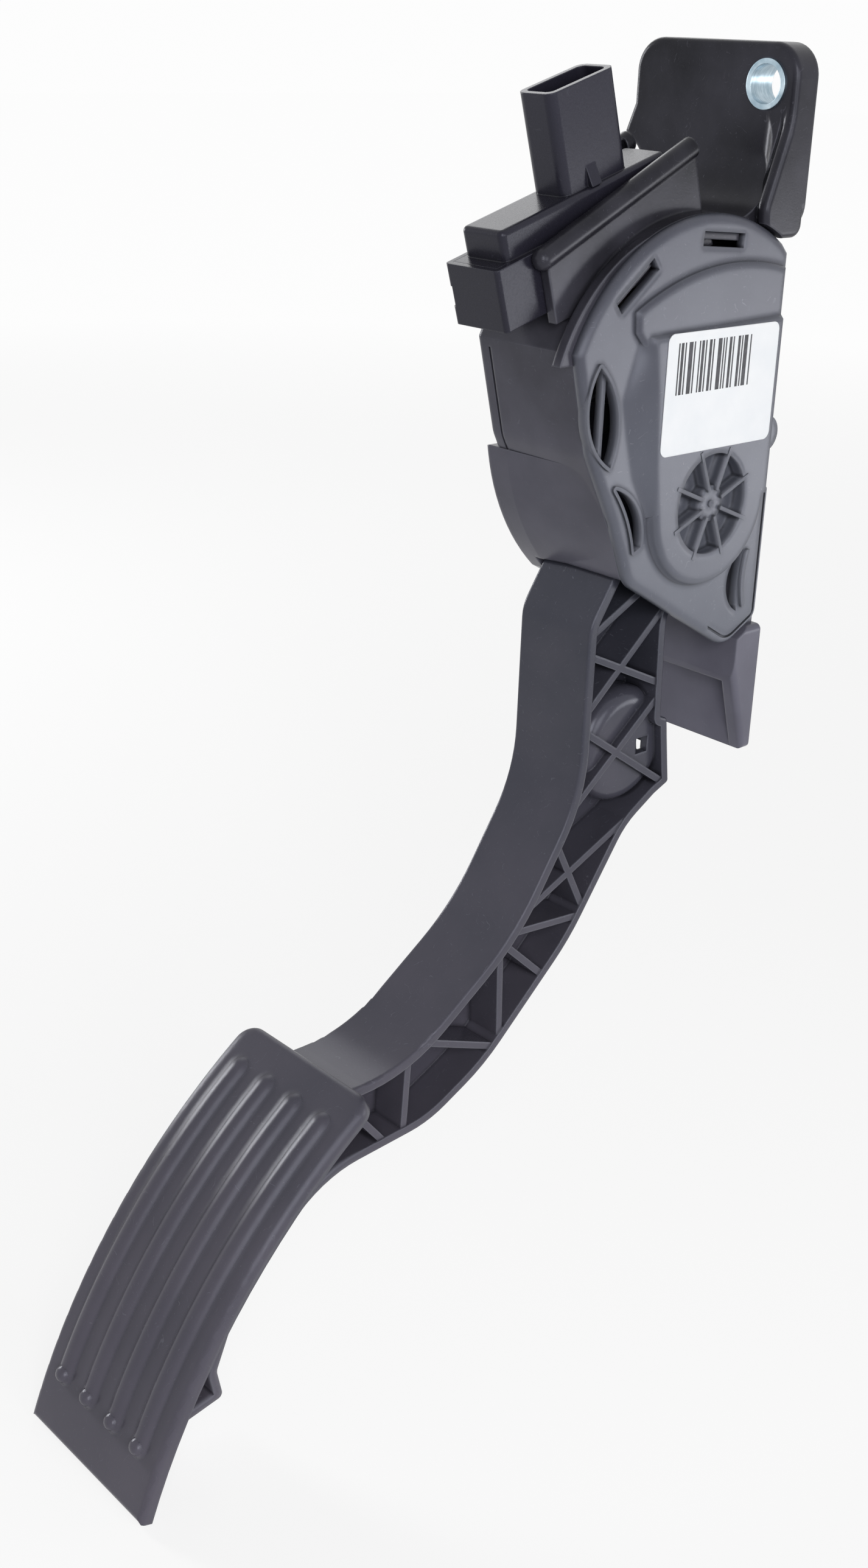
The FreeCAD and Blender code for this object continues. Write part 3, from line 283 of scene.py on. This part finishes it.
# Each bead ends at the foot in a small round nub that stands a little higher than the bead.
BEAD_PITCH = 10.2 * MM
BEAD_END = 0.86
NUB_TURN = PAD_TOP + BEAD_END * (PAD_FOOT - PAD_TOP)
NUB_PLACES = [share * BEAD_PITCH for share in (-1.5, -0.5, 0.5, 1.5)]
NUB_RADIUS = 2.0 * MM
NUB_FOOT = 0.8 * MM
NUB_RISE = 1.6 * MM
NUB_STEP = 0.3 * MM
FACE_SLACK = 0.05 * MM
WELD = 0.001 * MM
SAME_SIDE = 0.5


def on_brim(place):
    """How far a point of the pad goes into the brim's round, out and up, and the two directions there."""
    lift = Vector((0, place.y - PAD_AXIS_Y, place.z - PAD_AXIS_Z))
    turn = math.atan2(lift.z, lift.y)
    upward = lift.normalized()
    along = Vector((0, -upward.z, upward.y))
    side = Vector((math.copysign(1, place.x), 0, 0))
    from_side = PAD_HALF - abs(place.x)
    from_top = (turn - PAD_TOP) * PAD_FACE
    from_foot = (PAD_FOOT - turn) * PAD_FACE
    if from_side < PAD_CORNER and from_top < PAD_CORNER:
        outward = side * (PAD_CORNER - from_side) - along * (PAD_CORNER - from_top)
        inside = PAD_CORNER - outward.length
        outward.normalize()
    else:
        inside, outward = min(((from_side, side), (from_top, -along), (from_foot, along)),
                              key=lambda edge: edge[0])
    return BRIM - inside, lift.length - PAD_FACE + BRIM, outward, upward


def in_brim(place):
    """Whether a point lies where the brim is rounded, or just beside it."""
    if place.y > ARM_END:
        return False
    out, rise, _, _ = on_brim(place)
    return out > -BRIM_SLACK and -BRIM_SLACK < rise < BRIM + BRIM_SLACK


def from_nub(place):
    """Distance along the pad's face from the nearest nub's middle, endless for a point off that face."""
    lift = Vector((0, place.y - PAD_AXIS_Y, place.z - PAD_AXIS_Z))
    if place.y > ARM_END or lift.length < PAD_FACE - FACE_SLACK:
        return math.inf
    turn = math.atan2(lift.z, lift.y)
    return min(math.hypot(place.x - x, (turn - NUB_TURN) * lift.length) for x in NUB_PLACES)


def too_long(edge):
    """Whether an edge that touches the brim or a nub is longer than the round there allows."""
    places = [edge.verts[0].co, edge.verts[1].co, (edge.verts[0].co + edge.verts[1].co) / 2]
    length = edge.calc_length()
    return (length > BRIM_STEP and any(in_brim(place) for place in places)
            or length > NUB_STEP and any(from_nub(place) < NUB_RADIUS + NUB_STEP for place in places))


arm_mesh = nodes["pedal_arm"].data.copy()
kept = arm_mesh.attributes.new("kept_normal", "FLOAT_VECTOR", "CORNER")
kept.data.foreach_set("vector", [part for corner in arm_mesh.corner_normals for part in corner.vector])
arm = bmesh.new()
arm.from_mesh(arm_mesh)
bmesh.ops.remove_doubles(arm, verts=arm.verts, dist=WELD)
# Each pass cuts the longest edges first and only one edge of a face, so that no face is left crooked.
while long_edges := [edge for edge in arm.edges if too_long(edge)]:
    taken, chosen = set(), []
    for edge in sorted(long_edges, key=lambda edge: -edge.calc_length()):
        if not taken.intersection(edge.link_faces):
            taken.update(edge.link_faces)
            chosen.append(edge)
    bmesh.ops.subdivide_edges(arm, edges=chosen, cuts=1, use_single_edge=True)
arm.verts.index_update()
rounded = {}
for vert in arm.verts:
    if in_brim(vert.co):
        out, rise, outward, upward = on_brim(vert.co)
        depth = math.hypot(out, rise)
        if out >= 0 and rise >= 0 and depth > BRIM - ROUND_SLACK:
            from_round = outward * out + upward * rise
            vert.co += from_round * (BRIM / depth - 1)
            rounded[vert.index] = from_round.normalized()
raised = []
for vert in arm.verts:
    away = from_nub(vert.co)
    if away < NUB_RADIUS:
        lift = Vector((0, vert.co.y - PAD_AXIS_Y, vert.co.z - PAD_AXIS_Z))
        dome = PAD_FACE + NUB_FOOT + NUB_RISE * math.sqrt(1 - (away / NUB_RADIUS) ** 2)
        vert.co += lift.normalized() * max(0, dome - lift.length)
        raised.append(vert)
arm.normal_update()
rounded.update({vert.index: vert.normal.copy() for vert in raised})
layer = arm.loops.layers.float_vector["kept_normal"]
# A corner takes the direction of the round only where its face lies on the round.
for face in arm.faces:
    for loop in face.loops:
        normal = rounded.get(loop.vert.index)
        if normal and normal.dot(face.normal) > SAME_SIDE:
            loop[layer] = normal
arm.to_mesh(arm_mesh)
arm.free()
kept = arm_mesh.attributes["kept_normal"]
arm_mesh.normals_split_custom_set([corner.vector.normalized() for corner in kept.data])
arm_mesh.attributes.remove(arm_mesh.attributes["kept_normal"])
arm_moulding = bpy.data.objects.new("pedal_arm_moulding", arm_mesh)
bpy.context.scene.collection.objects.link(arm_moulding)
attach(arm_moulding, "pedal")
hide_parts("pedal_arm")

# Sensor target: a thin copper stamping on the end of the lever, which sweeps past the sensor's coils.
# Stamped copper: warm and bright, with the lines of the rolled strip.
copper = worked_metal("stamped_copper", "#a8643f", "#d08e66",
                      roughness=0.32, line_mm=0.5, along=(1, 0.1, 0.1))
paint(["target_plate"], copper)

# Friction rocker: moulded acetal, on a small ground pin in the lever, with a shoe of filled compound that
# the springs press on the track inside the case.
# Friction compound: brown, dull and finely speckled by its filler.
paint(["friction_lever"], acetal)
paint(["rocker_pin"], ground_steel)
compound = natural_plastic("filled_friction_compound", "#453c32", "#6b5c4b",
                           roughness=0.7, cloud_mm=0.8, pit_mm=0.25)
paint(["friction_lining"], compound)

# Return springs: two nested coils of drawn wire, between an acetal cup on the front wall and the rocker.
# Drawn wire: dark oiled steel with lengthwise die lines.
spring_wire = worked_metal("drawn_spring_wire", "#67686c", "#94969a",
                           roughness=0.35, line_mm=0.25, along=(1, 0.2, 1))
paint(["outer_spring", "inner_spring"], spring_wire)
paint(["spring_seat"], acetal)
# The coils stand on the cup at their front end; each is copied out as a still piece with its place baked in.
for name in ("outer_spring", "inner_spring"):
    coils = bpy.data.objects.new(name + "_coils", nodes[name].data.copy())
    bpy.context.scene.collection.objects.link(coils)
    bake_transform(coils)
    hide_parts(name)

# Idle bumper: a moulded rubber plug behind the lever, which takes the knock when the pedal comes back.
# Moulded rubber: matt black and slightly dusty.
rubber = natural_plastic("moulded_rubber", "#1d1d1e", "#333334", roughness=0.8, cloud_mm=4, pit_mm=0.4)
paint(["idle_bumper"], rubber)

# Sensor board: glass-fibre laminate under green solder mask, snapped into the tray, with two measuring
# circuits in black resin and five ceramic capacitors soldered on it.
# Solder mask shows the copper below it as paler lanes, in rows 1 mm apart.
LANE_SCALE = 4 * MM
WEAVE_SIZE = 0.4 * MM
mask, tree, shader, place = start_material("laminate_under_solder_mask")
lanes = add(tree, "ShaderNodeTexBrick", {"Vector": place, "Scale": 1 / LANE_SCALE, "Mortar Size": 0.04,
                                         "Color1": linear("#1d5b33"), "Color2": linear("#256b3d"),
                                         "Mortar": linear("#123f22")})
weave = add(tree, "ShaderNodeTexNoise", {"Vector": place, "Scale": 1 / WEAVE_SIZE, "Detail": 2.0})
cured = add(tree, "ShaderNodeMapRange", {"Value": weave.outputs["Fac"], "To Min": 0.2, "To Max": 0.4})
ridge = add(tree, "ShaderNodeBump", {"Height": lanes.outputs["Fac"], "Strength": 0.3, "Distance": 0.03 * MM})
tree.links.new(lanes.outputs["Color"], shader.inputs["Base Color"])
tree.links.new(cured.outputs["Result"], shader.inputs["Roughness"])
tree.links.new(ridge.outputs["Normal"], shader.inputs["Normal"])
paint(["circuit_board"], mask)
# Chip resin: dull black from the mould. Fired ceramic: buff and slightly mottled.
resin = natural_plastic("moulded_chip_resin", "#1f1f21", "#313134", roughness=0.6, cloud_mm=2, pit_mm=0.2)
paint(["sensor_chips"], resin)
ceramic = natural_plastic("fired_ceramic", "#a58a6b", "#bfa384", roughness=0.45, cloud_mm=0.8, pit_mm=0.2)
paint(["board_capacitors"], ceramic)

# Terminals: six blades stamped from brass strip and tinned, moulded into the connector.
# Tin: soft grey-white with lengthwise roll marks.
tin = worked_metal("tinned_brass", "#b3aea2", "#d8d5cc", roughness=0.36, line_mm=0.2, along=(1, 0.3, 0.1))
paint(["terminals"], tin)

# Sensor module: the tray that slides in under the rails and the connector on its base block, both moulded
# in black polyester and welded together.
# Moulded polyester: a denser, cooler black than the nylon.
polyester = moulded_black("moulded_polyester_module", "#201f28", "#2d2c37", "#60616d",
                          roughness=0.26, gloss=0.24, edge_mm=0.4, shade_from_mm=-60, shade_to_mm=20)
paint(["sensor_tray", "connector_housing"], polyester)

# Side cover: the lid with the hub recess, the label field and the clip windows, snapped on the case's hooks.
# Glass-filled nylon with a fine dry grain. It is painted the palest of the black pieces because it faces the
# # light, and paler still towards its foot, as painted light and sheen.
cover_nylon_painted_lit = moulded_black("moulded_nylon_cover_painted_lit", "#6b6e78", "#494a54", "#a2a5b0",
                            roughness=0.24, gloss=0.34, edge_mm=2.2, shade_from_mm=-140, shade_to_mm=-45)
paint(["side_cover"], cover_nylon_painted_lit)

# Label: white polyester film stuck on the cover's raised field, with a band of plain bars printed in black.
# Coated film: clean white with a trace of blue, and a dull print coat that takes the light unevenly.
film = natural_plastic("coated_label_film", "#eef1f5", "#f3f5f8", roughness=0.5, cloud_mm=9, pit_mm=0.5)
paint(["label"], film)
PRINT_THICKNESS = 0.02 * MM
BAR_LEFT, BAR_RIGHT = 0.09, 0.79
BAR_TOP, BAR_FOOT = 0.08, 0.50
BAR_STEPS = 62
BAR_WIDTHS = (1, 2, 1, 3, 1, 1, 2)
GAP_WIDTHS = (1, 1, 2, 1, 3)
low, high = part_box("label")
width = high[1] - low[1]
height = high[2] - low[2]
step = (BAR_RIGHT - BAR_LEFT) * width / BAR_STEPS
top, foot = high[2] - BAR_TOP * height, high[2] - BAR_FOOT * height
bars = bmesh.new()
place_on = 0
count = 0
while place_on < BAR_STEPS - max(BAR_WIDTHS):
    bar = BAR_WIDTHS[count % len(BAR_WIDTHS)]
    left = low[1] + BAR_LEFT * width + place_on * step
    right = left + bar * step
    corners = ((left, foot), (right, foot), (right, top), (left, top))
    face = bars.faces.new([bars.verts.new((high[0], y, z)) for y, z in corners])
    printed = bmesh.ops.extrude_face_region(bars, geom=[face])
    bmesh.ops.translate(bars, verts=[v for v in printed["geom"] if isinstance(v, bmesh.types.BMVert)],
                        vec=(PRINT_THICKNESS, 0, 0))
    place_on += bar + GAP_WIDTHS[count % len(GAP_WIDTHS)]
    count += 1
bmesh.ops.recalc_face_normals(bars, faces=bars.faces)
mesh = bpy.data.meshes.new("label_bars")
bars.to_mesh(mesh)
bars.free()
label_bars = bpy.data.objects.new("label_bars", mesh)
bpy.context.scene.collection.objects.link(label_bars)
# Thermal print: a dense grey-black that is slightly starved in places.
ink = natural_plastic("thermal_print", "#2c2c31", "#45454c", roughness=0.55, cloud_mm=1.5, pit_mm=0.3)
mesh.materials.append(ink)
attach(label_bars, "case")

# Floor and backdrop: a wide pale paper sheet, just under the pad's foot.
# It is white to the eye: it glows less near the pedal, where the lamps light it, and keeps a faint shadow.
FLOOR_GAP = 0.4 * MM
FLOOR_HALF = 6.0
SPOT_NEAR, SPOT_FAR = 0.35, 1.6
GLOW_NEAR, GLOW_FAR = 0.80, 0.955
level = cad_box[0][2] - FLOOR_GAP
mesh = bpy.data.meshes.new("floor")
mesh.from_pydata([(x * FLOOR_HALF, y * FLOOR_HALF, level) for x, y in ((-1, -1), (1, -1), (1, 1), (-1, 1))],
                 [], [(0, 1, 2, 3)])
floor = bpy.data.objects.new("floor", mesh)
bpy.context.scene.collection.objects.link(floor)
sheet = bpy.data.materials.new("pale_paper_sheet")
sheet.use_nodes = True
tree = sheet.node_tree
tree.nodes.clear()


def seen_directly(tree):
    """1 for a ray that shows the background, straight or in metal and glass, and 0 for one that lights."""
    rays = add(tree, "ShaderNodeLightPath")
    straight = add(tree, "ShaderNodeMath", {0: rays.outputs["Is Camera Ray"],
                                            1: rays.outputs["Is Transmission Ray"]}, operation="MAXIMUM")
    either = add(tree, "ShaderNodeMath", {0: straight.outputs["Value"], 1: rays.outputs["Is Glossy Ray"]},
                 operation="MAXIMUM")
    return either.outputs["Value"]


lit = add(tree, "ShaderNodeBsdfDiffuse", {"Color": linear("#e6e6e6")})
spot = add(tree, "ShaderNodeVectorMath", {0: add(tree, "ShaderNodeTexCoord").outputs["Object"]},
           operation="LENGTH")
spread = add(tree, "ShaderNodeMapRange", {"Value": spot.outputs["Value"],
                                          "From Min": SPOT_NEAR, "From Max": SPOT_FAR,
                                          "To Min": GLOW_NEAR, "To Max": GLOW_FAR})
glow = add(tree, "ShaderNodeEmission", {"Color": (1, 1, 1, 1), "Strength": spread.outputs["Result"]})
veil = add(tree, "ShaderNodeBsdfDiffuse", {"Color": linear("#8a8a8a")})
paper = add(tree, "ShaderNodeAddShader", {0: glow.outputs["Emission"], 1: veil.outputs["BSDF"]})
choice = add(tree, "ShaderNodeMixShader", {0: seen_directly(tree), 1: lit.outputs["BSDF"],
                                           2: paper.outputs["Shader"]})
add(tree, "ShaderNodeOutputMaterial", {"Surface": choice.outputs["Shader"]})
mesh.materials.append(sheet)

# Room: a plain white surround, as the eye and the metal see it.
# It gives the pedal only a low even light, so that the lamps shape it.
LIGHT_LEVEL, SEEN_LEVEL = 0.08, 0.98
world = bpy.data.worlds.new("studio")
bpy.context.scene.world = world
world.use_nodes = True
tree = world.node_tree
tree.nodes.clear()
strength = add(tree, "ShaderNodeMapRange", {"Value": seen_directly(tree),
                                            "To Min": LIGHT_LEVEL, "To Max": SEEN_LEVEL})
sky = add(tree, "ShaderNodeBackground", {"Color": (1, 1, 1, 1), "Strength": strength.outputs["Result"]})
add(tree, "ShaderNodeOutputWorld", {"Surface": sky.outputs["Background"]})

# Lamps: five soft boxes round the pedal. The key and the side one light the cover and the arm, the low one
# fills in from behind, and the two windows on the left draw the long highlights on the beads and the edges.


def lamp(name, place, wide, tall, watts):
    """Soft box that faces the middle of the pedal."""
    data = bpy.data.lights.new(name, "AREA")
    data.shape = "RECTANGLE"
    data.size = wide
    data.size_y = tall
    data.energy = watts
    made = bpy.data.objects.new(name, data)
    made.location = place
    made.rotation_mode = "QUATERNION"
    made.rotation_quaternion = (middle - place).to_track_quat("-Z", "Y")
    bpy.context.scene.collection.objects.link(made)


middle = (Vector(cad_box[0]) + Vector(cad_box[1])) / 2
for name, offset, wide, tall, watts in (
        ("key", (0.74, -0.52, 0.36), 0.38, 0.55, 4.6),
        ("side", (0.95, 0.00, 0.25), 0.45, 0.45, 2.4),
        ("low_back", (0.50, 0.58, -0.12), 0.35, 0.35, 1.6),
        ("left_window", (-0.90, -0.24, 0.22), 0.18, 0.36, 3.6),
        ("back_window", (-0.60, 0.45, 0.45), 0.35, 0.35, 0.5)):
    lamp(name, middle + Vector(offset), wide, tall, watts)

# Camera: looks down on the pedal from the front right, about 0.4 m off.
# Its place, directions and lens follow from the vanishing directions of edges on the case and the pad.
CAMERA_PLACE = Vector((288.6, -360.0, 12.0)) * MM
CAMERA_RIGHT = Vector((0.66795, 0.7435, 0.0320))
CAMERA_UP = Vector((-0.3076, 0.2367, 0.9216))
CAMERA_BACK = Vector((0.6777, -0.6254, 0.3868))
CAMERA_LENS, CAMERA_SENSOR = 42.07, 36.0
camera_data = bpy.data.cameras.new("camera")
camera_data.lens = CAMERA_LENS
camera_data.sensor_width = CAMERA_SENSOR
camera_data.clip_start = 0.01
camera = bpy.data.objects.new("camera", camera_data)
turned = Matrix((CAMERA_RIGHT, CAMERA_UP, CAMERA_BACK)).transposed().to_4x4()
camera.matrix_world = Matrix.Translation(CAMERA_PLACE) @ turned
bpy.context.scene.collection.objects.link(camera)
bpy.context.scene.camera = camera
bpy.context.scene.view_settings.view_transform = "Standard"
